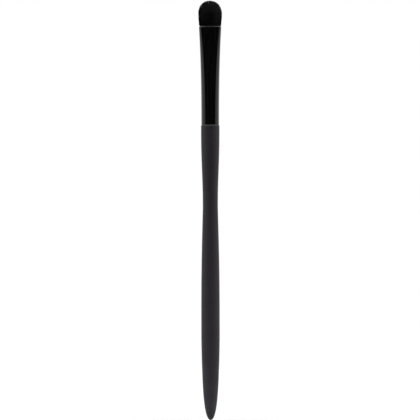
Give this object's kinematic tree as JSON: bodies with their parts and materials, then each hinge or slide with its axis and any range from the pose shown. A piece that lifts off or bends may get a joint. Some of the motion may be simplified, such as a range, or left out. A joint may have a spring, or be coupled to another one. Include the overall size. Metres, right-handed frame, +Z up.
{
  "type": "eyeshadow brush",
  "caption": "Slim eyeshadow brush: a waisted, tapering turned handle, a tube ferrule pressed flat at its mouth and a short, flattened, domed tuft of dark hair for putting on powder.",
  "frame": {"origin": "the middle of the handle's straight belly, on the axis of the brush, where a stand holds it", "axes": "+Z up along the brush towards the hair, +X across the wide way of the flattened mouth, +Y away from the viewer, through its thin way"},
  "size_m": [0.0096, 0.0074, 0.17],
  "materials": {
    "handle_lacquer": "matte",
    "ferrule_gloss": "gloss",
    "hair": "satin",
    "thread": "matte",
    "glue": "gloss"
  },
  "bodies": {
    "root": {"handle": "handle_lacquer", "ferrule": "ferrule_gloss", "hair_tuft": "hair", "binding_thread": "thread", "root_glue": "glue", "tenon_glue": "glue"}
  },
  "joints": []
}
